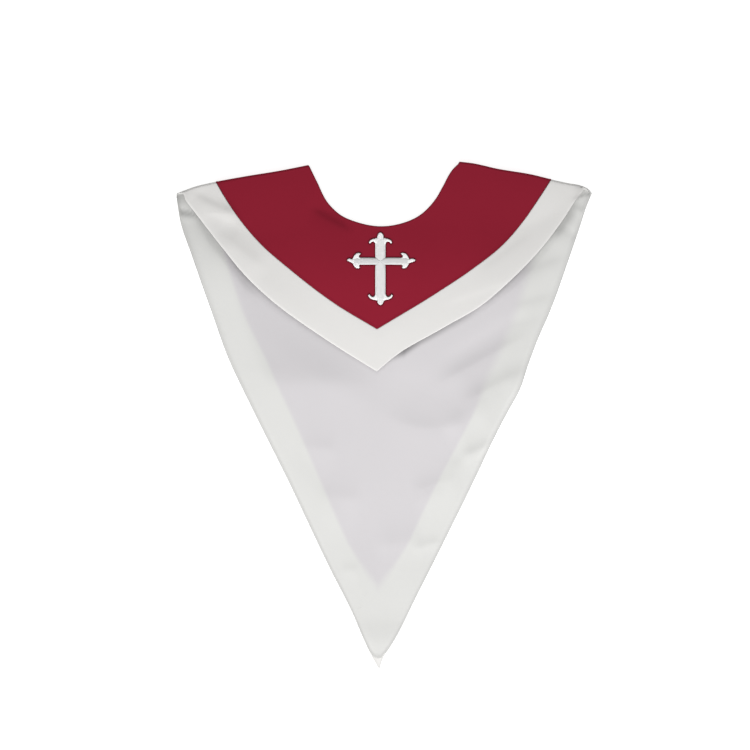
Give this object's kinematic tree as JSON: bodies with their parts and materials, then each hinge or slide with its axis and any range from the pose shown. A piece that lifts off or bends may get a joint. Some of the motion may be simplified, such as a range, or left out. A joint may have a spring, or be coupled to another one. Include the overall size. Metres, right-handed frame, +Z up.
{
  "type": "choir stole",
  "caption": "Choir stole laid flat, with a short V front, a long lined V back, a contrasting border and an embroidered cross.",
  "frame": {"origin": "under the middle of the bounding box, on the surface the stole lies on", "axes": "+X to the wearer's left shoulder as the stole lies face up, +Y from the back's point towards the neck, +Z up from the surface through the cloth"},
  "size_m": [0.5542, 0.6755, 0.0079],
  "materials": {
    "red_cloth": "matt woven polyester, deep red",
    "white_cloth": "soft satin-faced woven polyester, white",
    "lining_cloth": "thin plain-woven polyester lining, white",
    "embroidery": "satin-stitched rayon thread, white with a low sheen"
  },
  "bodies": {
    "root": {"front_centre": "red_cloth", "front_band": "white_cloth", "back_centre": "red_cloth", "back_band": "white_cloth", "back_lining": "lining_cloth", "cross": "embroidery"}
  },
  "joints": []
}
